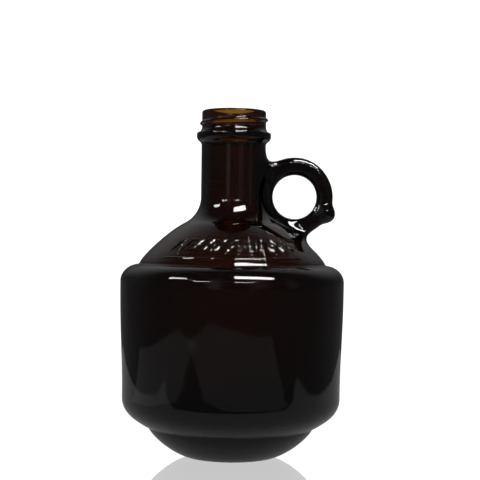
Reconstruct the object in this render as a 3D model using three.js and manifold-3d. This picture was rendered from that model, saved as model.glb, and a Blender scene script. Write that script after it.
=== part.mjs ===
// Growler: a one litre amber glass jug with a finger-ring handle on its neck.
// The glass is divided at level planes into its moulding regions, from the base cup up to the
// sealing lip. Millimetres, +Z up, origin on the jug's axis at the plane it stands on.
// The handle points to +X, so its ring lies in the XZ plane.
import * as THREE from 'three';
import { mergeVertices } from 'three/addons/utils/BufferGeometryUtils.js';
import Module from 'manifold-3d';

const wasm = await Module();
wasm.setup();

// ---- driving dimensions -------------------------------------------------------------------

const TOTAL_HEIGHT = 188.6;
const SEGMENTS = 36;              // facets round the jug
const GAP = 0.3;                  // clearance between regions that don't meet on a level plane

// level planes between the regions, from the base up
const BASE_TOP = 10;
const LEDGE_Z = 16.9;
const HEEL_TOP = 32.2;
const WALL_TOP = 95.5;
const SHELF_Z = 104.4;
const DOME_TOP = 127.2;
const FLARE_TOP = 141.3;
const BEAD_BOTTOM = 171;
const BEAD_TOP = 178;
const LIP_BOTTOM = 186.6;

// outer radii
const BEARING_OUTER_R = 23;
const BEARING_INNER_R = 19;
const LEDGE_INNER_R = 45.2;
const LEDGE_OUTER_R = 46.6;
const HEEL_R = 59.3;
const BODY_R = 61;
const SHELF_R = 51.2;
const DOME_FOOT_R = 50.6;
const FLARE_FOOT_R = 26;
const NECK_R = 17.5;
const BEAD_R = 20.2;
const FINISH_R = 17.4;
const THREAD_R = 18.6;

// inner surface
const PUSH_UP_HEIGHT = 3.4;
const FLOOR_Z = 7.6;
const WALL = 3.2;
const BORE_R = 14.5;
const LIP_ROUND = 1.3;
const LIP_INNER_ROUND = 0.7;

// thread: one right-hand turn of six threads per inch
const THREAD_PITCH = 4.233;
const THREAD_FRONT_Z = 182.1;     // crest height where the ridge passes -Y
const THREAD_FIRST_TURN = -0.58;  // turns from +X at which the ridge starts and ends
const THREAD_LAST_TURN = 0.38;
const THREAD_WIDTH = 2.4;

// handle
const RING_X = 33.4;
const RING_Z = 141.7;
const RING_CENTRE_R = 16.5;
const RING_HALF_WIDTH = 4.45;
const RING_SEGMENTS = 32;
const RING_SIDES = 12;
const NUB_RADIUS = 4.9;
const NUB_X = 50.9;
const NUB_Z = 132.8;
const WEB_TOP_Z = 167.4;
const WEB_END_X = 22.6;
const WEB_THICKNESS = 6;
const FOOT_OUTER_X = 40.8;
const FOOT_THICKNESS = 7;

// relief on the shoulder
const RELIEF_HEIGHT = 0.7;
const RELIEF_HALF_ANGLE = 0.62;   // radians to each side of -Y
const RELIEF_BOTTOM_Z = 111;
const RELIEF_TOP_Z = 119.5;
const LINE_BOTTOM_Z = 108;
const LINE_TOP_Z = 109;

// ---- profile, as radius and height --------------------------------------------------------

const at = (radius, z) => new THREE.Vector2(radius, z);

function bezier(start, startPull, endPull, end, steps) {
  return new THREE.CubicBezierCurve(start, startPull, endPull, end).getPoints(steps);
}

// an arc of the profile, with angles in degrees from the outward direction
function arc(centreR, centreZ, radius, fromDegrees, toDegrees, steps) {
  const points = [];
  for (let i = 0; i <= steps; i += 1) {
    const angle = THREE.MathUtils.degToRad(fromDegrees + (toDegrees - fromDegrees) * i / steps);
    points.push(at(centreR + radius * Math.cos(angle), centreZ + radius * Math.sin(angle)));
  }
  return points;
}

const FLARE_RADIUS = 16;
const FLARE_START = 242;          // degrees, where the flare leaves the dome
const flareX = NECK_R + FLARE_RADIUS;

const bowl = bezier(at(BEARING_OUTER_R, 0), at(30.5, 0.6), at(42.4, 10.8),
  at(LEDGE_INNER_R, LEDGE_Z - 0.3), 6);
const heelRoll = bezier(at(LEDGE_OUTER_R, LEDGE_Z), at(52.3, 20.3), at(HEEL_R, 24.1),
  at(HEEL_R, HEEL_TOP), 5);
const bodyWall = bezier(at(HEEL_R, HEEL_TOP), at(HEEL_R, 56), at(BODY_R, 68),
  at(BODY_R, WALL_TOP), 4);
const shoulderRoll = bezier(at(BODY_R, WALL_TOP), at(BODY_R, 100), at(56.8, 103.6),
  at(SHELF_R, SHELF_Z - 0.1), 5);
const dome = bezier(at(DOME_FOOT_R, SHELF_Z + 0.4), at(41.2, 115.2), at(34.4, 122.9),
  at(FLARE_FOOT_R, DOME_TOP), 7);
const flare = arc(flareX, FLARE_TOP, FLARE_RADIUS, FLARE_START, 180, 5);
const bead = [
  at(NECK_R, BEAD_BOTTOM),
  at(18.7, 171.7),
  at(19.9, 173.2),
  at(BEAD_R, 174.7),
  at(19.7, 176.4),
  at(18.5, 177.5),
  at(FINISH_R, BEAD_TOP),
];
const outerLip = arc(FINISH_R - LIP_ROUND, TOTAL_HEIGHT - LIP_ROUND, LIP_ROUND, 0, 90, 3);
const innerLip = arc(BORE_R + LIP_INNER_ROUND, TOTAL_HEIGHT - LIP_INNER_ROUND, LIP_INNER_ROUND, 180, 90, 2);

const outer = [...bowl, ...heelRoll, ...bodyWall, ...shoulderRoll, ...dome, ...flare, ...bead, ...outerLip];

const innerFloor = bezier(at(0, FLOOR_Z), at(14, FLOOR_Z), at(28, 5.6), at(33.5, 9.4), 4);
const innerHeel = bezier(at(33.5, 9.4), at(42.5, 16.5), at(HEEL_R - WALL, 20.5), at(HEEL_R - WALL, 36), 7);
const innerWall = [at(BODY_R - WALL, 80), at(BODY_R - WALL, 93.5)];
const innerRoll = bezier(at(BODY_R - WALL, 93.5), at(BODY_R - WALL, 98.5), at(54, 100.4), at(48.3, 103.2), 5);
const innerDome = bezier(at(48.3, 103.2), at(39.5, 112.6), at(32.6, 120.2), at(24.6, 124.6), 6);
const innerFlare = arc(flareX, FLARE_TOP + 0.1, flareX - BORE_R, FLARE_START, 180, 5);
const inner = [...innerHeel, ...innerWall, ...innerRoll, ...innerDome, ...innerFlare, ...innerLip];

// the stretch of a rising profile between two heights, cut level at both ends
function between(profile, low, high) {
  const cut = (z) => {
    const i = profile.findIndex((point, k) => k > 0 && point.y >= z && profile[k - 1].y <= z);
    const below = profile[i - 1];
    const above = profile[i];
    const share = above.y === below.y ? 1 : (z - below.y) / (above.y - below.y);
    return at(below.x + (above.x - below.x) * share, z);
  };
  const middle = profile.filter((point) => point.y > low + 1e-6 && point.y < high - 1e-6);
  return [cut(low), ...middle, cut(high)];
}

// ---- solids -------------------------------------------------------------------------------

function lathe(points) {
  const geometry = new THREE.LatheGeometry(points, SEGMENTS);
  geometry.rotateX(Math.PI / 2);
  return geometry;
}

// a ring of glass between two level planes
function glassRing(low, high) {
  const outside = between(outer, low, high);
  const inside = between(inner, low, high).reverse();
  return lathe([...outside, ...inside, outside[0]]);
}

function baseCup() {
  const bulge = (PUSH_UP_HEIGHT ** 2 + BEARING_INNER_R ** 2) / (2 * PUSH_UP_HEIGHT);
  const edge = THREE.MathUtils.radToDeg(Math.acos(BEARING_INNER_R / bulge));
  const pushUp = arc(0, PUSH_UP_HEIGHT - bulge, bulge, 90, edge, 3).slice(0, -1);
  const outside = between(outer, 0, BASE_TOP);
  const inside = between(inner, 9.4, BASE_TOP).reverse();
  const floor = innerFloor.slice(0, -1).reverse();
  return lathe([...pushUp, at(BEARING_INNER_R, 0), ...outside, ...inside, ...floor]);
}

// a closed mesh as a manifold, with its shared corners merged
function toSolid(geometry) {
  const bare = geometry.clone();
  bare.deleteAttribute('normal');
  bare.deleteAttribute('uv');
  const merged = mergeVertices(bare, 1e-4);
  const index = merged.index.array;
  const kept = [];
  for (let i = 0; i < index.length; i += 3) {
    const [a, b, c] = [index[i], index[i + 1], index[i + 2]];
    if (a !== b && b !== c && c !== a) kept.push(a, b, c);
  }
  return new wasm.Manifold(new wasm.Mesh({
    numProp: 3,
    vertProperties: new Float32Array(merged.attributes.position.array),
    triVerts: new Uint32Array(kept),
  }));
}

function toGeometry(solid) {
  const mesh = solid.getMesh();
  const geometry = new THREE.BufferGeometry();
  geometry.setAttribute('position', new THREE.BufferAttribute(new Float32Array(mesh.vertProperties), 3));
  geometry.setIndex(new THREE.BufferAttribute(new Uint32Array(mesh.triVerts), 1));
  return geometry;
}

// the jug's outside grown by a clearance, filled in: what the handle is cut back to
function jugEnvelope(growth) {
  const skin = between(outer, SHELF_Z, BEAD_BOTTOM).map((point) => at(point.x + growth, point.y));
  return toSolid(lathe([at(0, SHELF_Z), ...skin, at(0, BEAD_BOTTOM)]));
}

// a torus in the XZ plane, closed by a full turn
function ringTorus(halfWidth) {
  const section = arc(RING_CENTRE_R, 0, halfWidth, 0, 360, RING_SIDES);
  const geometry = new THREE.LatheGeometry(section, RING_SEGMENTS);
  geometry.translate(RING_X, 0, RING_Z);
  return toSolid(geometry);
}

// a flat shape drawn in X and Z, given a thickness along Y
function plateXZ(shape, thickness) {
  const geometry = new THREE.ExtrudeGeometry(shape, {
    depth: thickness, bevelEnabled: false, curveSegments: 6,
  });
  geometry.translate(0, 0, -thickness / 2);
  geometry.rotateX(Math.PI / 2);
  return toSolid(geometry);
}

const jug = jugEnvelope(GAP);
const ringSolid = ringTorus(RING_HALF_WIDTH);
const ringKeepOut = ringTorus(RING_HALF_WIDTH + GAP);

function handleRing() {
  return toGeometry(ringSolid.subtract(jug));
}

// fills the corner between the neck and the top of the ring with a hollow curve
function handleWeb() {
  const shape = new THREE.Shape();
  shape.moveTo(NECK_R, RING_Z);
  shape.lineTo(NECK_R + GAP, WEB_TOP_Z);
  shape.quadraticCurveTo(NECK_R + 1.2, 161.6, WEB_END_X, 160.4);
  shape.lineTo(WEB_END_X + 1, RING_Z);
  shape.closePath();
  const corner = plateXZ(shape, WEB_THICKNESS).subtract(jug).subtract(ringKeepOut);
  return toGeometry(largest(corner));
}

// stands under the ring and meets the slope of the shoulder
function handleFoot() {
  const shape = new THREE.Shape();
  shape.moveTo(RING_X, 112);
  shape.lineTo(FOOT_OUTER_X + 0.8, 112);
  shape.quadraticCurveTo(FOOT_OUTER_X - 1, 119, FOOT_OUTER_X + 0.6, 123);
  shape.lineTo(RING_X, 123);
  shape.closePath();
  const stub = plateXZ(shape, FOOT_THICKNESS).subtract(jug).subtract(ringKeepOut);
  return toGeometry(largest(stub));
}

function thumbNub() {
  const ball = new THREE.SphereGeometry(NUB_RADIUS, 16, 10);
  ball.translate(NUB_X, 0, NUB_Z);
  return toGeometry(largest(toSolid(ball).subtract(ringKeepOut)));
}

// the biggest body of a cut that leaves more than one
function largest(solid) {
  return solid.decompose().reduce((best, body) => (body.volume() > best.volume() ? body : best));
}

// a low band that lies on the shoulder, across the front of the jug
function shoulderBand(low, high, halfAngle) {
  const steps = Math.round(halfAngle * 16);
  const outside = between(outer, low, high).map((point) => at(point.x + RELIEF_HEIGHT, point.y));
  const inside = between(outer, low, high).map((point) => at(point.x + GAP, point.y)).reverse();
  const full = toSolid(lathe([...outside, ...inside, outside[0]]));
  const reach = BODY_R * 1.5;
  const fan = new THREE.Shape();
  fan.moveTo(0, 0);
  for (let i = -steps; i <= steps; i += 1) {
    const angle = -Math.PI / 2 + halfAngle * i / steps;
    fan.lineTo(reach * Math.cos(angle), reach * Math.sin(angle));
  }
  fan.closePath();
  const wedge = new THREE.ExtrudeGeometry(fan, { depth: TOTAL_HEIGHT, bevelEnabled: false });
  return toGeometry(full.intersect(toSolid(wedge)));
}

// one helical ridge on the finish, fading into the wall at both ends
function threadRidge() {
  const steps = 44;
  const sides = 6;
  const positions = [];
  const rootR = FINISH_R + GAP;
  for (let i = 0; i <= steps; i += 1) {
    const share = i / steps;
    const turn = THREAD_FIRST_TURN + (THREAD_LAST_TURN - THREAD_FIRST_TURN) * share;
    const angle = turn * 2 * Math.PI;
    const z = THREAD_FRONT_Z + (turn + 0.25) * THREAD_PITCH;
    const fade = Math.min(1, 0.15 + 8 * Math.min(share, 1 - share));
    for (let k = 0; k < sides; k += 1) {
      const across = Math.PI * k / (sides - 1);
      const radius = rootR + (THREAD_R - rootR) * fade * Math.sin(across);
      const height = z - THREAD_WIDTH / 2 * fade * Math.cos(across);
      positions.push(radius * Math.cos(angle), radius * Math.sin(angle), height);
    }
  }
  const index = [];
  for (let i = 0; i < steps; i += 1) {
    for (let k = 0; k < sides; k += 1) {
      const a = i * sides + k;
      const b = i * sides + (k + 1) % sides;
      index.push(a, a + sides, b, b, a + sides, b + sides);
    }
  }
  const lastRow = steps * sides;
  for (let k = 1; k < sides - 1; k += 1) {
    index.push(0, k, k + 1, lastRow, lastRow + k + 1, lastRow + k);
  }
  const geometry = new THREE.BufferGeometry();
  geometry.setAttribute('position', new THREE.Float32BufferAttribute(positions, 3));
  geometry.setIndex(index);
  return geometry;
}

// ---- assembly -----------------------------------------------------------------------------

const growler = new THREE.Group();

// every region has its own material, all of the same amber glass
function addRegion(name, geometry, thickness = 1) {
  const amber = new THREE.Color(0.16, 0.07, 0.02).multiplyScalar(thickness);
  const material = new THREE.MeshStandardMaterial({ color: amber, roughness: 0.05, metalness: 0 });
  const mesh = new THREE.Mesh(geometry, material);
  mesh.name = name;
  growler.add(mesh);
}

addRegion('base_cup', baseCup());
addRegion('heel_bowl', glassRing(BASE_TOP, LEDGE_Z));
addRegion('heel_roll', glassRing(LEDGE_Z, HEEL_TOP));
addRegion('body_wall', glassRing(HEEL_TOP, WALL_TOP));
addRegion('shoulder_roll', glassRing(WALL_TOP, SHELF_Z));
addRegion('shoulder_dome', glassRing(SHELF_Z, DOME_TOP));
addRegion('neck_flare', glassRing(DOME_TOP, FLARE_TOP));
addRegion('neck_tube', glassRing(FLARE_TOP, BEAD_BOTTOM));
addRegion('transfer_bead', glassRing(BEAD_BOTTOM, BEAD_TOP), 1.2);
addRegion('finish_wall', glassRing(BEAD_TOP, LIP_BOTTOM), 2);
addRegion('sealing_lip', glassRing(LIP_BOTTOM, TOTAL_HEIGHT), 2.4);
addRegion('thread_ridge', threadRidge(), 2);
addRegion('handle_ring', handleRing());
addRegion('handle_web', handleWeb());
addRegion('handle_foot', handleFoot());
addRegion('thumb_nub', thumbNub());
addRegion('shoulder_relief', shoulderBand(RELIEF_BOTTOM_Z, RELIEF_TOP_Z, RELIEF_HALF_ANGLE), 1.3);
addRegion('shoulder_line', shoulderBand(LINE_BOTTOM_Z, LINE_TOP_Z, RELIEF_HALF_ANGLE), 1.3);

export default growler;
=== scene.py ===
"""Growler: a one litre amber glass jug with a finger ring, as one seamless skin of glass.

The jug is a solid of revolution with a screw thread, mould seams and shoulder relief worked into
its surface. The ring handle is joined to it, and the join is drawn into fillets. Metres, row frame.
"""
import math

import bmesh
import bpy
import numpy as np
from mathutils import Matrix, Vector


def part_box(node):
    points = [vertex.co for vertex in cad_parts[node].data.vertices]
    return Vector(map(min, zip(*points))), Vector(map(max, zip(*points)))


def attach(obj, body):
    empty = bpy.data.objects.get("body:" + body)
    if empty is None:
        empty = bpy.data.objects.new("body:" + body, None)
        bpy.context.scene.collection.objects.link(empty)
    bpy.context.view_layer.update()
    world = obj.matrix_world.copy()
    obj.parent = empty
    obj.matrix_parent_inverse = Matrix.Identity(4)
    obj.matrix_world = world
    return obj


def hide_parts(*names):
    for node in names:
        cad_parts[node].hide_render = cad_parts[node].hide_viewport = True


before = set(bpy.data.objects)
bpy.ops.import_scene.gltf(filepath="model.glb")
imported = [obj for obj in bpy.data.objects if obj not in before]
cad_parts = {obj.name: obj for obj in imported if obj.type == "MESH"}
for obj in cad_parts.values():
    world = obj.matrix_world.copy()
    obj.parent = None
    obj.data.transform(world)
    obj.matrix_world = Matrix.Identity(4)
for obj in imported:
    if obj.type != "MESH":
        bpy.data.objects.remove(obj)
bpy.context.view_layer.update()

MM = 0.001

# ---- places and sizes taken from the frame ------------------------------------------------


def node_top(node):
    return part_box(node)[1].z


def node_radius(node):
    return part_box(node)[1].x


LEDGE_Z = node_top("heel_bowl")
HEEL_TOP = node_top("heel_roll")
WALL_TOP = node_top("body_wall")
SHELF_Z = node_top("shoulder_roll")
DOME_TOP = node_top("shoulder_dome")
FLARE_TOP = node_top("neck_flare")
BEAD_BOTTOM = node_top("neck_tube")
BEAD_TOP = node_top("transfer_bead")
TOTAL_HEIGHT = node_top("sealing_lip")

HEEL_R = node_radius("heel_roll")
BODY_R = node_radius("body_wall")
FLARE_FOOT_R = node_radius("neck_flare")
NECK_R = node_radius("neck_tube")
BEAD_R = node_radius("transfer_bead")
FINISH_R = node_radius("finish_wall")

ring_low, ring_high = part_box("handle_ring")
RING_HALF_WIDTH = ring_high.y
RING_CENTRE_R = (ring_high.z - ring_low.z) / 2 - RING_HALF_WIDTH
RING_X = ring_high.x - RING_CENTRE_R - RING_HALF_WIDTH
RING_Z = (ring_high.z + ring_low.z) / 2
nub_low, nub_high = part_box("thumb_nub")
NUB_RADIUS = nub_high.y
NUB_X = nub_high.x - NUB_RADIUS

# ---- sizes of the glass that the frame doesn't hold ---------------------------------------

BEARING_R = 21 * MM
LEDGE_INNER_R = 45.2 * MM
LEDGE_OUTER_R = 46.6 * MM
SHELF_R = 51.2 * MM
DOME_FOOT_R = 50.6 * MM
FLARE_RADIUS = 16 * MM
FLARE_START = 242
PUSH_UP_HEIGHT = 3.4 * MM
FLOOR_Z = 9.0 * MM
WALL = 3.8 * MM
FLARE_FOOT_WALL = 3.2 * MM
NECK_BORE_R = 14.2 * MM
FINISH_BORE_R = 14.9 * MM
LIP_ROUND = 1.2 * MM
LIP_INNER_ROUND = 0.6 * MM
NUB_Z = 132.8 * MM
TOP_EXTRA = 0.38 * MM
RING_SQUARENESS = 3.6

THREAD_R = 18.6 * MM
THREAD_PITCH = 4.233 * MM
THREAD_WIDTH = 2.5 * MM
THREAD_FRONT_Z = 182.5 * MM
THREAD_FIRST_TURN = -0.58
THREAD_LAST_TURN = 0.38

SEAM_HEIGHT = 0.12 * MM
SEAM_HALF_ANGLE = 0.3
MARK_R = 9 * MM
MARK_HEIGHT = 0.5 * MM
KNURL_DEPTH = 0.3 * MM
KNURL_COUNT = 36

# ---- profile of the jug, as rows of radius and height -------------------------------------


def bezier(start, start_pull, end_pull, end, steps):
    t = np.linspace(0, 1, steps + 1)[:, None]
    p = [np.array(q, float) for q in (start, start_pull, end_pull, end)]
    return (1 - t) ** 3 * p[0] + 3 * (1 - t) ** 2 * t * p[1] + 3 * (1 - t) * t * t * p[2] + t ** 3 * p[3]


def arc(centre, radius, from_degrees, to_degrees, steps):
    angle = np.radians(np.linspace(from_degrees, to_degrees, steps + 1))
    return np.array(centre) + radius * np.stack([np.cos(angle), np.sin(angle)], axis=1)


def straight(start, end, steps):
    t = np.linspace(0, 1, steps + 1)[:, None]
    return np.array(start) * (1 - t) + np.array(end) * t


def chain(*pieces):
    """Joins stretches end to end, dropping points that repeat."""
    points = np.concatenate(pieces)
    step = np.linalg.norm(np.diff(points, axis=0), axis=1)
    return points[np.concatenate([[True], step > 1e-7])]


def mm(radius, z):
    return (radius * MM, z * MM)


def outer_profile():
    """From the middle of the push-up, out and up to the edge of the sealing land."""
    body_r = BODY_R - SEAM_HEIGHT
    flare_centre = (NECK_R + FLARE_RADIUS, FLARE_TOP)
    push_up = bezier((0, PUSH_UP_HEIGHT), (9 * MM, PUSH_UP_HEIGHT), (15.5 * MM, 1.2 * MM), mm(18.6, 0.35), 30)
    bearing = bezier(mm(18.6, 0.35), mm(19.6, 0), (BEARING_R - MM, 0), (BEARING_R, 0), 4)
    bowl_end = (LEDGE_INNER_R - 0.5 * MM, LEDGE_Z - 1.4 * MM)
    bowl = bezier((BEARING_R, 0), mm(29.6, 0.2), mm(42.1, 10.4), bowl_end, 24)
    ledge_pull = (LEDGE_INNER_R + 0.3 * MM, LEDGE_Z - 0.1 * MM)
    ledge_end = (LEDGE_OUTER_R + 0.2 * MM, LEDGE_Z + 0.12 * MM)
    ledge = bezier(bowl_end, (LEDGE_INNER_R, LEDGE_Z - 0.4 * MM), ledge_pull, ledge_end, 7)
    heel_roll = bezier(ledge[-1], mm(52.3, 20.3), (HEEL_R, 24.1 * MM), (HEEL_R, HEEL_TOP), 22)
    body = bezier((HEEL_R, HEEL_TOP), (HEEL_R, 56 * MM), (body_r, 68 * MM), (body_r, WALL_TOP), 14)
    roll_end = (SHELF_R + 0.9 * MM, SHELF_Z - 0.15 * MM)
    roll = bezier((body_r, WALL_TOP), (body_r, 100 * MM), mm(56.8, 103.6), roll_end, 24)
    shelf = bezier(roll[-1], (SHELF_R, SHELF_Z), (DOME_FOOT_R + 0.1 * MM, SHELF_Z + 0.2 * MM),
                   (DOME_FOOT_R - 0.25 * MM, SHELF_Z + 1.2 * MM), 8)
    dome = bezier(shelf[-1], mm(48, 110.2), mm(34.4, 122.9), (FLARE_FOOT_R, DOME_TOP), 100)
    flare = arc(flare_centre, FLARE_RADIUS, FLARE_START, 180, 20)
    neck = straight((NECK_R, FLARE_TOP), (NECK_R, BEAD_BOTTOM - 1.4 * MM), 10)
    bead = chain(
        bezier(neck[-1], (NECK_R, BEAD_BOTTOM - 0.1 * MM), mm(18.3, 171.3), mm(19.0, 171.9), 6),
        bezier(mm(19.0, 171.9), mm(19.9, 172.7), (BEAD_R, 173.7 * MM), (BEAD_R, 174.8 * MM), 6),
        bezier((BEAD_R, 174.8 * MM), (BEAD_R, 176.0 * MM), mm(20.0, 176.5), mm(19.2, 176.7), 6),
        bezier(mm(19.2, 176.7), mm(18.2, 176.95), (FINISH_R, BEAD_TOP), (FINISH_R, BEAD_TOP + 1.8 * MM), 9),
    )
    finish = straight(bead[-1], (FINISH_R, TOTAL_HEIGHT - LIP_ROUND), 24)
    lip = arc((FINISH_R - LIP_ROUND, TOTAL_HEIGHT - LIP_ROUND), LIP_ROUND, 0, 90, 9)
    body_rows = chain(push_up, bearing, bowl, ledge, heel_roll, body, roll)
    return chain(body_rows, shelf, dome, flare, neck, bead, finish, lip)


def inner_profile():
    """From the edge of the sealing land, down the bore and the wall to the middle of the floor."""
    wall_r = BODY_R - WALL
    heel_r = HEEL_R - WALL
    neck_wall = NECK_R - NECK_BORE_R
    flare_radius = FLARE_RADIUS + neck_wall
    floor = bezier((0, FLOOR_Z), (14 * MM, FLOOR_Z), mm(26, 9.4), mm(34, 14), 9)
    heel = bezier(mm(34, 14), mm(43, 20), (heel_r, 25 * MM), (heel_r, 42 * MM), 12)
    wall = bezier(heel[-1], (heel_r, 58 * MM), (wall_r, 68 * MM), (wall_r, 92 * MM), 6)
    roll = bezier(wall[-1], (wall_r, 97.5 * MM), mm(54, 100), mm(49.2, 102.6), 9)
    flare_start = arc((NECK_R + FLARE_RADIUS, FLARE_TOP), flare_radius, FLARE_START, 180, 8)
    slant = math.radians(FLARE_START - 180)
    dome_end = (FLARE_FOOT_R - FLARE_FOOT_WALL * math.cos(slant),
                DOME_TOP - FLARE_FOOT_WALL * math.sin(slant))
    dome = bezier(roll[-1], mm(45.9, 108.4), mm(33.2, 121.2), dome_end, 12)
    flare = chain(dome[-1:], flare_start[1:])
    bore = straight(flare[-1], (NECK_BORE_R, BEAD_TOP - 2 * MM), 3)
    mouth = bezier(bore[-1], (NECK_BORE_R, BEAD_TOP + 1 * MM), (FINISH_BORE_R, BEAD_TOP - 1 * MM),
                   (FINISH_BORE_R, BEAD_TOP + 3 * MM), 6)
    throat = straight(mouth[-1], (FINISH_BORE_R, TOTAL_HEIGHT - LIP_INNER_ROUND), 3)
    lip = arc((FINISH_BORE_R + LIP_INNER_ROUND, TOTAL_HEIGHT - LIP_INNER_ROUND), LIP_INNER_ROUND, 180, 90, 5)
    return chain(floor, heel, wall, roll, dome, flare, bore, mouth, throat, lip)[::-1]


OUTER = outer_profile()
INNER = inner_profile()

# ---- what stands out from the turned surface ----------------------------------------------


def smooth(x):
    x = np.clip(x, 0, 1)
    return x * x * (3 - 2 * x)


def thread(angle, z):
    """Height of the helical ridge above the finish wall, for one right-hand turn."""
    height = np.zeros_like(angle)
    for lap in (-1, 0, 1):
        turn = angle / (2 * math.pi) + lap
        crest = THREAD_FRONT_Z + (turn + 0.25) * THREAD_PITCH
        ends = smooth((turn - THREAD_FIRST_TURN) / 0.08) * smooth((THREAD_LAST_TURN - turn) / 0.08)
        across = np.clip(np.abs(z - crest) / (THREAD_WIDTH / 2), 0, 1)
        height = np.maximum(height, (THREAD_R - FINISH_R) * ends * (1 - across ** 2) ** 1.2)
    return height


def seam(angle):
    """Fine parting line of the mould, which runs through the handle and up the far side."""
    off = np.abs(np.arctan2(np.sin(2 * angle), np.cos(2 * angle))) / 2
    return SEAM_HEIGHT * (1 - smooth(off / math.radians(SEAM_HALF_ANGLE)))


RELIEF_MID_Z = 115.2 * MM
RELIEF_BOTTOM_Z = 106.0 * MM
RELIEF_TOP_Z = 122.0 * MM
RELIEF_MID_R = 40.5 * MM
RELIEF_LEAN = 1.38
RELIEF_HALF_LENGTH = 33 * MM
RELIEF_HEIGHT = 0.55 * MM
RELIEF_END_FADE = 2 * MM
STRAND_LENGTH = 12.0 * MM
STRAND_SWING = 3.72 * MM
STRAND_HALF_WIDTH = 0.85 * MM
BEAD_RADIUS = 1.0 * MM
SPUR_OFFSET = 6.0 * MM
SPUR_RADIUS = 0.8 * MM
SPUR_SHARE = 0.8
LINE_Z = 108.6 * MM
LINE_HALF_LENGTH = 35 * MM
LINE_HALF_WIDTH = 0.5 * MM
LINE_END_FADE = 3 * MM
LINE_SHARE = 0.6


def bump(distance, half_width):
    """One at no distance, easing down to zero at the half width."""
    return 1 - smooth(distance / half_width)


def relief(along, up, z):
    """Plain moulded ornament on the front of the shoulder: a twisted strand with beads, over a line."""
    phase = 2 * math.pi * along / STRAND_LENGTH
    swing = STRAND_SWING * np.sin(phase)
    slope = np.cos(phase) * 2 * math.pi * STRAND_SWING / STRAND_LENGTH
    lean = np.sqrt(1 + slope ** 2)
    first = bump(np.abs(up - swing) / lean, STRAND_HALF_WIDTH)
    second = bump(np.abs(up + swing) / lean, STRAND_HALF_WIDTH)
    eye = along / STRAND_LENGTH * 2 + 0.5
    to_eye = (eye - np.round(eye)) * STRAND_LENGTH / 2
    bead = bump(np.hypot(to_eye, up), BEAD_RADIUS)
    spur = SPUR_SHARE * bump(np.hypot(to_eye, np.abs(up) - SPUR_OFFSET), SPUR_RADIUS)
    strand_ends = smooth((RELIEF_HALF_LENGTH - np.abs(along)) / RELIEF_END_FADE)
    strand = np.maximum.reduce([first, second, bead, spur]) * strand_ends
    line_ends = smooth((LINE_HALF_LENGTH - np.abs(along)) / LINE_END_FADE)
    line = LINE_SHARE * bump(np.abs(z - LINE_Z), LINE_HALF_WIDTH) * line_ends
    return RELIEF_HEIGHT * np.maximum(strand, line)


# ---- the turned glass ---------------------------------------------------------------------

FRONT = -math.pi / 2
RELIEF_HALF_ANGLE = math.radians(54)
COLUMN_STEP = 2.0
RELIEF_COLUMN_STEP = 0.5


def column_angles():
    """Even columns for every row, and many more over the relief for the rows that carry it."""
    half = math.radians(SEAM_HALF_ANGLE)
    near_side = np.array([-half, -half / 2, half / 2, half])
    far_side = near_side - math.pi * np.sign(near_side)
    even = np.radians(np.arange(0, 360, COLUMN_STEP)) - math.pi
    everywhere = np.unique(np.round(np.concatenate([even, near_side, far_side]), 6))
    steps = round(2 * RELIEF_HALF_ANGLE / math.radians(RELIEF_COLUMN_STEP))
    close = np.linspace(FRONT - RELIEF_HALF_ANGLE, FRONT + RELIEF_HALF_ANGLE, steps + 1)
    return everywhere, np.unique(np.round(np.concatenate([everywhere, close]), 6))


def base_mark(radius):
    """A plain ring and a boss, raised on the push-up."""
    ring = bump(np.abs(radius - MARK_R), 1.0 * MM)
    boss = bump(radius, 2.4 * MM)
    return MARK_HEIGHT * max(ring, boss)


def knurls(angle, radius):
    """Radial grooves across the bearing ring, which keep the hot jug off its plate."""
    across = bump(np.abs(radius - BEARING_R), 3 * MM)
    return -KNURL_DEPTH * across * (0.5 - 0.5 * np.cos(KNURL_COUNT * angle))


def lifted(angle, radius, z, normal):
    """Moves outside points out along the surface by the height of what is moulded there."""
    lift = np.zeros_like(angle)
    if radius < BEARING_R - 4 * MM and z < LEDGE_Z:
        lift += base_mark(radius)
    if radius < BEARING_R + 3 * MM and z < LEDGE_Z:
        lift += knurls(angle, radius)
    if SHELF_Z + 1.5 * MM < z < DOME_TOP:
        lift += relief((angle - FRONT) * RELIEF_MID_R, (z - RELIEF_MID_Z) * RELIEF_LEAN, z)
    if BEAD_TOP < z < TOTAL_HEIGHT - 0.4 * MM:
        lift += thread(angle, z)
    if 0.5 * MM < z < TOTAL_HEIGHT - 0.5 * MM and radius > FINISH_R - 0.1 * MM:
        lift += seam(angle)
    return radius + lift * normal[0], z + lift * normal[1]


def faces_between(low, low_angles, high, high_angles):
    """Faces that join two rows of vertices, where one row may have extra columns."""
    coarse = low_angles if len(low_angles) <= len(high_angles) else high_angles
    low_at = np.searchsorted(low_angles, coarse)
    high_at = np.searchsorted(high_angles, coarse)
    low_at = np.append(low_at, len(low_angles))
    high_at = np.append(high_at, len(high_angles))
    faces = []
    for k in range(len(coarse)):
        foot = [int(low[j % len(low)]) for j in range(low_at[k], low_at[k + 1] + 1)]
        head = [int(high[j % len(high)]) for j in range(high_at[k], high_at[k + 1] + 1)]
        faces.append(foot + head[::-1])
    return faces


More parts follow.
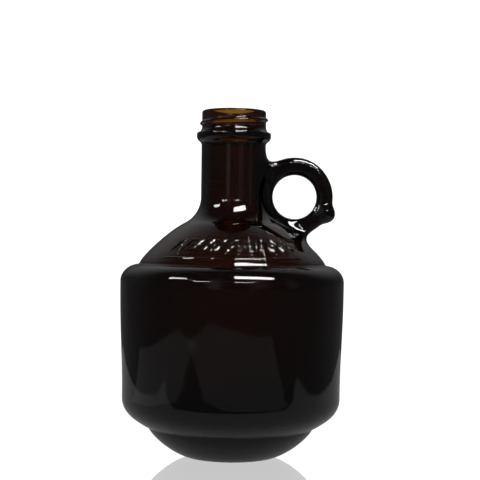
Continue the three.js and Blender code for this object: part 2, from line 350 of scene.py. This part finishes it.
def turned_glass():
    """Vertices and faces of the closed skin: outside, sealing land and inside, with two end poles."""
    everywhere, close = column_angles()
    outer = OUTER[1:]
    rows = np.concatenate([outer, INNER[:-1]])
    tangent = np.gradient(rows, axis=0)
    normals = np.stack([tangent[:, 1], -tangent[:, 0]], axis=1)
    normals /= np.linalg.norm(normals, axis=1)[:, None]
    points, faces = [], []
    below = below_angles = None
    for number, (r, z) in enumerate(rows):
        is_outer = number < len(outer)
        angles = close if is_outer and RELIEF_BOTTOM_Z < z < RELIEF_TOP_Z else everywhere
        if is_outer:
            reach, height = lifted(angles, r, z, normals[number])
        else:
            reach, height = np.full_like(angles, r), np.full_like(angles, z)
        ids = np.arange(len(angles)) + len(points)
        row = np.stack([reach * np.cos(angles), reach * np.sin(angles), height], axis=1)
        points += row.tolist()
        if below is not None:
            faces += faces_between(below, below_angles, ids, angles)
        else:
            first = ids
        below, below_angles = ids, angles
    bottom_pole, floor_pole = len(points), len(points) + 1
    points += [[0, 0, OUTER[0, 1]], [0, 0, INNER[-1, 1]]]
    faces += [(bottom_pole, int(b), int(a)) for a, b in zip(first, np.roll(first, -1))]
    faces += [(floor_pole, int(a), int(b)) for a, b in zip(below, np.roll(below, -1))]
    return points, faces


# ---- the handle ---------------------------------------------------------------------------


def extra_half_width(turn):
    """The ring is a little heavier over the top of the finger hole."""
    return TOP_EXTRA * smooth(np.sin(turn - 0.35))


def squared(share):
    """Sine or cosine, pushed out so that a circle becomes a rounded square."""
    return np.sign(share) * np.abs(share) ** (2 / RING_SQUARENESS)


def ring_skin(around, across):
    """The ring handle: its section is flat in front and behind, with well rounded corners."""
    turn = np.linspace(0, 2 * math.pi, around, endpoint=False)
    side = np.linspace(0, 2 * math.pi, across, endpoint=False)
    turn, side = np.meshgrid(turn, side, indexing="ij")
    half_width = RING_HALF_WIDTH + extra_half_width(turn)
    reach = RING_CENTRE_R + extra_half_width(turn) + half_width * squared(np.cos(side))
    points = np.stack([RING_X + reach * np.cos(turn), half_width * squared(np.sin(side)),
                       RING_Z + reach * np.sin(turn)], axis=2)
    index = np.arange(around * across).reshape(around, across)
    after = np.roll(index, -1, 0)
    quads = np.stack([index, np.roll(index, -1, 1), np.roll(after, -1, 1), after], axis=2)
    return points.reshape(-1, 3), quads.reshape(-1, 4).tolist()


def core_of_neck():
    """A turned plug inside the glass, which trims the ring so that it never shows in the bore."""
    keep = (OUTER[:, 1] > SHELF_Z + 4 * MM) & (OUTER[:, 1] < BEAD_BOTTOM)
    side = OUTER[keep][::3] - np.array([1.3 * MM, 1.0 * MM])
    angles = np.radians(np.arange(0, 360, 5.0))
    cosines, sines = np.cos(angles), np.sin(angles)
    rings = [np.stack([r * cosines, r * sines, np.full_like(angles, z)], axis=1) for r, z in side]
    points = np.concatenate(rings)
    count = len(angles)
    faces = [list(range(count))[::-1], list(range(len(points) - count, len(points)))]
    for row in range(len(side) - 1):
        for a in range(count):
            b = (a + 1) % count
            faces.append([row * count + a, row * count + b, (row + 1) * count + b, (row + 1) * count + a])
    return points, faces


def new_object(name, points, faces):
    mesh = bpy.data.meshes.new(name)
    mesh.from_pydata([tuple(p) for p in points], [], faces)
    mesh.update()
    made = bpy.data.objects.new(name, mesh)
    bpy.context.scene.collection.objects.link(made)
    return made


def combine(target, tool, operation):
    """Applies a boolean to target and removes the tool."""
    cut = target.modifiers.new("cut", "BOOLEAN")
    cut.operation = operation
    cut.object = tool
    cut.solver = "MANIFOLD"
    graph = bpy.context.evaluated_depsgraph_get()
    result = bpy.data.meshes.new_from_object(target.evaluated_get(graph))
    target.modifiers.clear()
    target.data = result
    bpy.data.objects.remove(tool)


def make_handle():
    handle = new_object("handle", *ring_skin(128, 36))
    nub_mesh = bmesh.new()
    bmesh.ops.create_uvsphere(nub_mesh, u_segments=36, v_segments=20, radius=NUB_RADIUS)
    bmesh.ops.translate(nub_mesh, verts=nub_mesh.verts, vec=(NUB_X, 0, NUB_Z))
    nub = new_object("nub", [], [])
    nub_mesh.to_mesh(nub.data)
    nub_mesh.free()
    combine(handle, nub, "UNION")
    combine(handle, new_object("core", *core_of_neck()), "DIFFERENCE")
    return handle


# ---- fillets where the handle meets the jug -----------------------------------------------


SETTLE_TURNS = 14
SMOOTHING_TURNS = 9
SLOPE_STEP = 0.02 * MM
JOIN_REACH = 5 * MM


def distance_to_jug(p):
    """Signed distance to the turned outside, near the neck and the shoulder."""
    keep = (OUTER[:, 1] > SHELF_Z) & (OUTER[:, 1] < BEAD_BOTTOM)
    line = OUTER[keep]
    start, leg = line[:-1], np.diff(line, axis=0)
    q = np.stack([np.hypot(p[:, 0], p[:, 1]), p[:, 2]], axis=1)
    to = q[:, None, :] - start[None]
    share = np.clip((to * leg).sum(2) / (leg * leg).sum(1), 0, 1)
    gap = to - share[..., None] * leg
    length = np.linalg.norm(gap, axis=2)
    best = length.argmin(1)
    pick = np.arange(len(q))
    side = leg[best, 1] * gap[pick, best, 0] - leg[best, 0] * gap[pick, best, 1]
    return np.sign(side) * length[pick, best]


def distance_to_ring(p):
    extra = extra_half_width(np.arctan2(p[:, 2] - RING_Z, p[:, 0] - RING_X))
    reach = np.hypot(p[:, 0] - RING_X, p[:, 2] - RING_Z) - RING_CENTRE_R - extra
    across = (np.abs(reach) ** RING_SQUARENESS + np.abs(p[:, 1]) ** RING_SQUARENESS) ** (1 / RING_SQUARENESS)
    return across - RING_HALF_WIDTH - extra


def distance_to_nub(p):
    return np.linalg.norm(p - np.array([NUB_X, 0, NUB_Z]), axis=1) - NUB_RADIUS


def blended(a, b, reach):
    """The joined surface of two shapes, with the corner between them filled in."""
    near = np.clip(reach - np.abs(a - b), 0, None)
    return np.minimum(a, b) - near * near / (4 * reach)


def fillet_reach(p):
    """Wide outside the ring and on its two faces, tight in the round of the finger hole."""
    from_ring_centre = np.hypot(p[:, 0] - RING_X, p[:, 2] - RING_Z)
    outside = smooth((from_ring_centre - 14.5 * MM) / (6.5 * MM))
    on_face = 0.6 * smooth((np.abs(p[:, 1]) - 1.5 * MM) / (3 * MM))
    return (2.2 + 7.2 * np.maximum(outside, on_face)) * MM


def glass_distance(p):
    handle = blended(distance_to_ring(p), distance_to_nub(p), 3.2 * MM)
    return blended(distance_to_jug(p), handle, fillet_reach(p))


def settle(points, movable, edges):
    """Evens out the mesh round the join and draws it onto the filleted surface."""
    count = np.bincount(edges.ravel(), minlength=len(points)).clip(1)
    near_jug = np.abs(distance_to_jug(points)) < JOIN_REACH
    near_ring = np.abs(distance_to_ring(points)) < JOIN_REACH
    near_join = movable & near_jug & near_ring
    pace = np.where(near_join, 0.5, 0)[:, None]
    for turn in range(SETTLE_TURNS):
        if turn < SMOOTHING_TURNS:
            total = np.zeros_like(points)
            np.add.at(total, edges[:, 0], points[edges[:, 1]])
            np.add.at(total, edges[:, 1], points[edges[:, 0]])
            points = points + pace * (total / count[:, None] - points)
        p = points[movable]
        value = glass_distance(p)
        steps = [glass_distance(p + SLOPE_STEP * axis) - value for axis in np.eye(3)]
        slope = np.stack(steps, axis=1) / SLOPE_STEP
        size = (slope * slope).sum(1).clip(0.2)
        points[movable] = p - (value / size)[:, None] * slope
    return points


def clean(mesh):
    """Merges the slivers that a boolean leaves and cuts up its many-sided faces."""
    edit = bmesh.new()
    edit.from_mesh(mesh)
    bmesh.ops.remove_doubles(edit, verts=edit.verts, dist=0.04 * MM)
    bmesh.ops.dissolve_degenerate(edit, edges=edit.edges, dist=0.01 * MM)
    bmesh.ops.triangulate(edit, faces=[f for f in edit.faces if len(f.verts) > 4])
    edit.to_mesh(mesh)
    edit.free()


def round_the_joins(mesh):
    """Moves the points near the handle onto the filleted surface."""
    points = np.zeros(len(mesh.vertices) * 3, np.float32)
    mesh.vertices.foreach_get("co", points)
    points = points.reshape(-1, 3).astype(float)
    edges = np.zeros(len(mesh.edges) * 2, np.int32)
    mesh.edges.foreach_get("vertices", edges)
    edges = edges.reshape(-1, 2)
    height = points[:, 2]
    movable = (height > SHELF_Z + 3 * MM) & (height < BEAD_BOTTOM) & (points[:, 0] > 10 * MM)
    near = points[movable]
    close = (distance_to_ring(near) < 11 * MM) & (distance_to_jug(near) > -0.6 * MM)
    movable[movable] = close & (glass_distance(near) > -3 * MM)
    points = settle(points, movable, edges)
    mesh.vertices.foreach_set("co", points.astype(np.float32).ravel())
    mesh.update()


def make_jug():
    jug = new_object("jug_glass", *turned_glass())
    combine(jug, make_handle(), "UNION")
    clean(jug.data)
    round_the_joins(jug.data)
    jug.data.shade_smooth()
    return jug


# ---- material -----------------------------------------------------------------------------


def set_range(node, from_min, from_max, to_min, to_max):
    node.inputs["From Min"].default_value = from_min
    node.inputs["From Max"].default_value = from_max
    node.inputs["To Min"].default_value = to_min
    node.inputs["To Max"].default_value = to_max


def noise(tree, place, scale, detail):
    made = tree.nodes.new("ShaderNodeTexNoise")
    made.inputs["Scale"].default_value = scale
    made.inputs["Detail"].default_value = detail
    tree.links.new(place, made.inputs["Vector"])
    return made.outputs["Fac"]


def glass_roughness(tree, place):
    """A faint uneven bloom on the polish, and scuffs on the ring that it stands on."""
    polish = tree.nodes.new("ShaderNodeMapRange")
    set_range(polish, 0.35, 0.75, 0.031, 0.045)
    tree.links.new(noise(tree, place, 24, 5), polish.inputs["Value"])
    height = tree.nodes.new("ShaderNodeSeparateXYZ")
    tree.links.new(place, height.inputs[0])
    scuffed = tree.nodes.new("ShaderNodeMapRange")
    set_range(scuffed, 0.0, 1.5 * MM, 0.25, 0.0)
    tree.links.new(height.outputs["Z"], scuffed.inputs["Value"])
    worn = tree.nodes.new("ShaderNodeMath")
    worn.operation = "ADD"
    tree.links.new(polish.outputs["Result"], worn.inputs[0])
    tree.links.new(scuffed.outputs["Result"], worn.inputs[1])
    return worn.outputs[0]


def glass_streaks(tree, place):
    """Slight upright streaks in the tint."""
    stretch = tree.nodes.new("ShaderNodeMapping")
    stretch.inputs["Scale"].default_value = (1, 1, 0.08)
    tree.links.new(place, stretch.inputs["Vector"])
    tint = tree.nodes.new("ShaderNodeValToRGB")
    dark, clear = tint.color_ramp.elements
    dark.color = (0.94, 0.92, 0.90, 1)
    dark.position = 0.3
    clear.color = (1, 1, 1, 1)
    clear.position = 0.6
    tree.links.new(noise(tree, stretch.outputs["Vector"], 60, 3), tint.inputs[0])
    return tint.outputs["Color"]


def glass_waviness(tree, place):
    """The gentle waviness of blown glass."""
    waviness = tree.nodes.new("ShaderNodeBump")
    waviness.inputs["Strength"].default_value = 0.15
    waviness.inputs["Distance"].default_value = 0.0012
    tree.links.new(noise(tree, place, 38, 1.5), waviness.inputs["Height"])
    return waviness.outputs["Normal"]


def amber_glass():
    """Dark amber glass: its colour is in its depth, so thin lips glow and thick walls go black."""
    material = bpy.data.materials.new("amber_glass")
    material.use_nodes = True
    tree = material.node_tree
    surface = tree.nodes["Principled BSDF"]
    surface.inputs["Transmission Weight"].default_value = 1.0
    surface.inputs["IOR"].default_value = 1.52
    place = tree.nodes.new("ShaderNodeTexCoord").outputs["Object"]
    tree.links.new(glass_roughness(tree, place), surface.inputs["Roughness"])
    tree.links.new(glass_streaks(tree, place), surface.inputs["Base Color"])
    tree.links.new(glass_waviness(tree, place), surface.inputs["Normal"])
    depth = tree.nodes.new("ShaderNodeVolumeAbsorption")
    depth.inputs["Color"].default_value = (0.646, 0.50, 0.06, 1)
    depth.inputs["Density"].default_value = 2200
    tree.links.new(depth.outputs["Volume"], tree.nodes["Material Output"].inputs["Volume"])
    return material


# ---- studio -------------------------------------------------------------------------------

CAMERA_DISTANCE = 0.70
CAMERA_HEIGHT = 0.118
CAMERA_SIDE = 0.0040
PICTURE_WIDTH = 0.2623
SENSOR = 36.0
ROLL = math.radians(0.7)


def make_camera():
    data = bpy.data.cameras.new("camera")
    data.sensor_width = SENSOR
    data.lens = SENSOR * CAMERA_DISTANCE / PICTURE_WIDTH
    data.clip_start, data.clip_end = 0.01, 20
    camera = bpy.data.objects.new("camera", data)
    camera.location = (CAMERA_SIDE, -CAMERA_DISTANCE, CAMERA_HEIGHT)
    camera.rotation_euler = (math.radians(90), 0, 0)
    camera.rotation_euler.rotate_axis("Z", ROLL)
    bpy.context.scene.collection.objects.link(camera)
    bpy.context.scene.camera = camera


TABLE_Z = -0.0005
TABLE_REACH = 4.0
FLOOR_REFLECTED = 0.07
# painted shadow on the floor that the glass reflects: where it starts, where it fades out, and how dark it
# gets
PAINTED_SHADOW_START = 0.023
PAINTED_SHADOW_END = 0.09
PAINTED_SHADOW_SHARE = 0.1


def soft_glossy(tree):
    """One for rays that the polished glass reflects, zero for the camera, clear views and mirrors."""
    path = tree.nodes.new("ShaderNodeLightPath")
    direct = tree.nodes.new("ShaderNodeMath")
    direct.operation = "ADD"
    tree.links.new(path.outputs["Is Transmission Ray"], direct.inputs[0])
    tree.links.new(path.outputs["Is Singular Ray"], direct.inputs[1])
    soft = tree.nodes.new("ShaderNodeMath")
    soft.operation = "SUBTRACT"
    soft.use_clamp = True
    tree.links.new(path.outputs["Is Glossy Ray"], soft.inputs[0])
    tree.links.new(direct.outputs[0], soft.inputs[1])
    return soft.outputs[0]


def floor_material():
    """White lacquer. The glass's reflections see it much dimmer than the camera does, with a painted shadow
    round the jug.
    """
    material = bpy.data.materials.new("floor")
    material.use_nodes = True
    tree = material.node_tree
    tree.nodes.clear()
    out = tree.nodes.new("ShaderNodeOutputMaterial")
    white = tree.nodes.new("ShaderNodeEmission")
    white.inputs["Strength"].default_value = 0.94
    mirror = tree.nodes.new("ShaderNodeBsdfGlossy")
    mirror.inputs["Roughness"].default_value = 0.0
    mirror.inputs["Color"].default_value = (1, 1, 1, 1)
    fresnel = tree.nodes.new("ShaderNodeFresnel")
    fresnel.inputs["IOR"].default_value = 1.7
    lacquer = tree.nodes.new("ShaderNodeMixShader")
    tree.links.new(fresnel.outputs[0], lacquer.inputs[0])
    tree.links.new(white.outputs[0], lacquer.inputs[1])
    tree.links.new(mirror.outputs[0], lacquer.inputs[2])

    place = tree.nodes.new("ShaderNodeTexCoord")
    away = tree.nodes.new("ShaderNodeVectorMath")
    away.operation = "LENGTH"
    tree.links.new(place.outputs["Object"], away.inputs[0])
    # painted shadow: the floor that the glass reflects gets darker towards the jug's foot
    painted_shadow = tree.nodes.new("ShaderNodeMapRange")
    painted_shadow.interpolation_type = "SMOOTHSTEP"
    set_range(painted_shadow, PAINTED_SHADOW_START, PAINTED_SHADOW_END, PAINTED_SHADOW_SHARE * FLOOR_REFLECTED, FLOOR_REFLECTED)
    tree.links.new(away.outputs["Value"], painted_shadow.inputs["Value"])
    dim = tree.nodes.new("ShaderNodeEmission")
    tree.links.new(painted_shadow.outputs["Result"], dim.inputs["Strength"])
    choose = tree.nodes.new("ShaderNodeMixShader")
    tree.links.new(soft_glossy(tree), choose.inputs[0])
    tree.links.new(lacquer.outputs[0], choose.inputs[1])
    tree.links.new(dim.outputs[0], choose.inputs[2])
    tree.links.new(choose.outputs[0], out.inputs["Surface"])
    return material


def make_floor():
    """A plain white table top."""
    far = TABLE_REACH
    corners = [(x, y, TABLE_Z) for x, y in ((-far, -far), (far, -far), (far, far), (-far, far))]
    floor = new_object("floor", corners, [(0, 1, 2, 3)])
    floor.data.materials.append(floor_material())


ROOM_LEVEL = 0.06
STRAIGHT_BEHIND_LEVEL = 1.0
ROOM_STRIPS = ((-108, 12, 0.09), (-18, 4, 0.24), (27, 6, 0.14), (63, 3, 0.13), (168, 8, 0.09))
STRIP_EDGE = 5


def grey(level):
    return (level, level, level, 1)


def strip_stops():
    """Stops of brightness by bearing for the upright pale strips: up, across and down again."""
    stops = []
    for middle, half_width, level in ROOM_STRIPS:
        stops.append((middle - half_width - STRIP_EDGE, ROOM_LEVEL))
        stops.append((middle - half_width, level))
        stops.append((middle + half_width, level))
        stops.append((middle + half_width + STRIP_EDGE, ROOM_LEVEL))
    return [stop for stop in stops if stop[0] < 180]


def make_world():
    """Even white all round. The glass's reflections see a dim room instead, with pale strips, a pale
    ceiling at the back and a narrow white line straight behind."""
    world = bpy.data.worlds.new("studio")
    bpy.context.scene.world = world
    world.use_nodes = True
    tree = world.node_tree
    tree.nodes.clear()
    out = tree.nodes.new("ShaderNodeOutputWorld")
    place = tree.nodes.new("ShaderNodeTexCoord")
    split = tree.nodes.new("ShaderNodeSeparateXYZ")
    tree.links.new(place.outputs["Generated"], split.inputs[0])
    ceiling = tree.nodes.new("ShaderNodeMapRange")
    ceiling.interpolation_type = "SMOOTHSTEP"
    ceiling.inputs["From Min"].default_value = 0.1
    ceiling.inputs["From Max"].default_value = 0.9
    tree.links.new(split.outputs["Z"], ceiling.inputs["Value"])
    backdrop = tree.nodes.new("ShaderNodeMapRange")
    set_range(backdrop, 0.2, 0.9, 0.05, 0.62)
    tree.links.new(split.outputs["Y"], backdrop.inputs["Value"])
    tree.links.new(backdrop.outputs["Result"], ceiling.inputs["To Max"])
    toward = tree.nodes.new("ShaderNodeMath")
    toward.operation = "MULTIPLY"
    toward.inputs[1].default_value = -1
    tree.links.new(split.outputs["Y"], toward.inputs[0])
    bearing = tree.nodes.new("ShaderNodeMath")
    bearing.operation = "ARCTAN2"
    tree.links.new(split.outputs["X"], bearing.inputs[0])
    tree.links.new(toward.outputs[0], bearing.inputs[1])
    around = tree.nodes.new("ShaderNodeMapRange")
    around.inputs["From Min"].default_value = -math.pi
    around.inputs["From Max"].default_value = math.pi
    tree.links.new(bearing.outputs[0], around.inputs["Value"])
    bands = tree.nodes.new("ShaderNodeValToRGB")
    stops = bands.color_ramp.elements
    stops[0].color = grey(ROOM_LEVEL)
    stops[1].color = grey(STRAIGHT_BEHIND_LEVEL)
    for degrees, level in strip_stops():
        stop = stops.new((degrees + 180) / 360)
        stop.color = grey(level)
    tree.links.new(around.outputs["Result"], bands.inputs[0])
    tree.links.new(bands.outputs["Color"], ceiling.inputs["To Min"])
    room = tree.nodes.new("ShaderNodeBackground")
    room.inputs["Color"].default_value = (1.0, 1.0, 1.0, 1)
    tree.links.new(ceiling.outputs["Result"], room.inputs["Strength"])
    white = tree.nodes.new("ShaderNodeBackground")
    white.inputs["Color"].default_value = (1, 1, 1, 1)
    white.inputs["Strength"].default_value = 1.25
    mix = tree.nodes.new("ShaderNodeMixShader")
    tree.links.new(soft_glossy(tree), mix.inputs[0])
    tree.links.new(white.outputs[0], mix.inputs[1])
    tree.links.new(room.outputs[0], mix.inputs[2])
    tree.links.new(mix.outputs[0], out.inputs["Surface"])


PANEL_DISTANCE = 1.1
AIM_HEIGHT = 0.11
LOW_PANEL_LIFT = 0.0003


def area_lamp(name, width, height, brightness):
    """A soft rectangular lamp that the camera doesn't see, of an even brightness at any size."""
    light = bpy.data.lights.new(name, "AREA")
    light.shape = "RECTANGLE"
    light.size = width
    light.size_y = height
    light.energy = brightness * math.pi * width * height
    lamp = bpy.data.objects.new(name, light)
    lamp.visible_camera = False
    bpy.context.scene.collection.objects.link(lamp)
    return lamp


def panel(name, azimuth, elevation, shift, width, height, brightness):
    """A lamp aimed at the jug from a bearing, then slid sideways along its own plane."""
    lamp = area_lamp(name, width, height, brightness)
    a, e = math.radians(azimuth), math.radians(elevation)
    away = np.array([math.sin(a) * math.cos(e), -math.cos(a) * math.cos(e), math.sin(e)])
    sideways = np.array([math.cos(a), math.sin(a), 0])
    lamp.location = away * PANEL_DISTANCE + sideways * shift + np.array([0, 0, AIM_HEIGHT])
    lamp.rotation_euler = (math.radians(90) - e, 0, a)


def low_panel(name, x, y, width, depth, turn, brightness):
    """A dim lamp lying face up on the table, there only for the jug's polish to pick up."""
    lamp = area_lamp(name, width, depth, brightness)
    lamp.location = (x, y, TABLE_Z + LOW_PANEL_LIFT)
    lamp.rotation_euler = (math.pi, 0, math.radians(turn))
    lamp.visible_transmission = False


def make_lights():
    """Panels to the right share one upright left edge, which cuts their highlights off in a line."""
    low_panel("low_panel_left", -0.37, -0.14, 0.25, 0.50, 0, 0.11)
    low_panel("low_panel_front", 0.0, -0.40, 0.60, 0.30, 20, 0.09)
    low_panel("low_panel_back", 0.0, 0.20, 0.65, 0.70, 0, 0.18)
    panel("panel_right_high", 0, 53, 0.40, 0.72, 0.38, 26)
    panel("panel_right_low", 0, 18, 0.25, 0.42, 0.035, 20)
    panel("panel_left_high", -62, 34, 0, 0.36, 0.14, 18)
    panel("panel_left_low", -31, 19, 0, 0.30, 0.04, 24)


# ---- assembly -----------------------------------------------------------------------------

make_camera()
make_world()
make_floor()
make_lights()

jug = make_jug()
jug.data.materials.clear()
jug.data.materials.append(amber_glass())
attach(jug, "root")
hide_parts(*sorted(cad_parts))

bpy.context.scene.view_settings.view_transform = "Standard"
